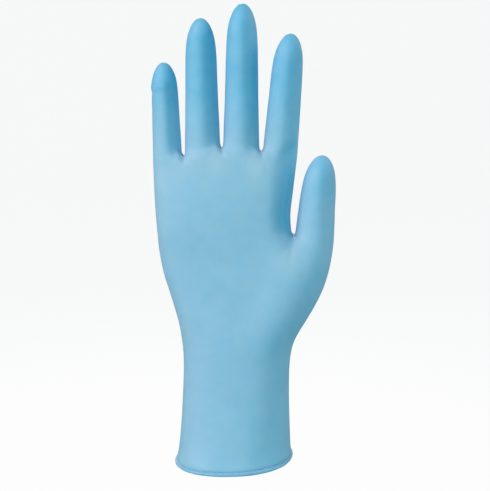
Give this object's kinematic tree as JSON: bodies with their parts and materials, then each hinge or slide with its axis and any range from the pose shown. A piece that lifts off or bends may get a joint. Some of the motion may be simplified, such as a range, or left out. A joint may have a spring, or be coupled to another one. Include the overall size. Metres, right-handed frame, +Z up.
{
  "type": "nitrile exam glove",
  "caption": "Light blue nitrile exam glove in its worn form, fingers up and thumb out, hollow to the fingertips, with a flared cuff that ends in a thin rolled bead.",
  "frame": {"origin": "the middle of the cuff's opening, level with the bead's lowest edge, where a wrist goes in", "axes": "+Z up along the hand to the fingertips, +X to the thumb, and -Y out of the side that the picture shows"},
  "size_m": [0.0961, 0.054, 0.2452],
  "materials": {
    "film": "satin light blue nitrile film, finely textured at the fingertips",
    "bead": "satin light blue nitrile, rolled into a thin bead"
  },
  "bodies": {
    "root": {"glove_film": "film", "cuff_bead": "bead"}
  },
  "joints": []
}
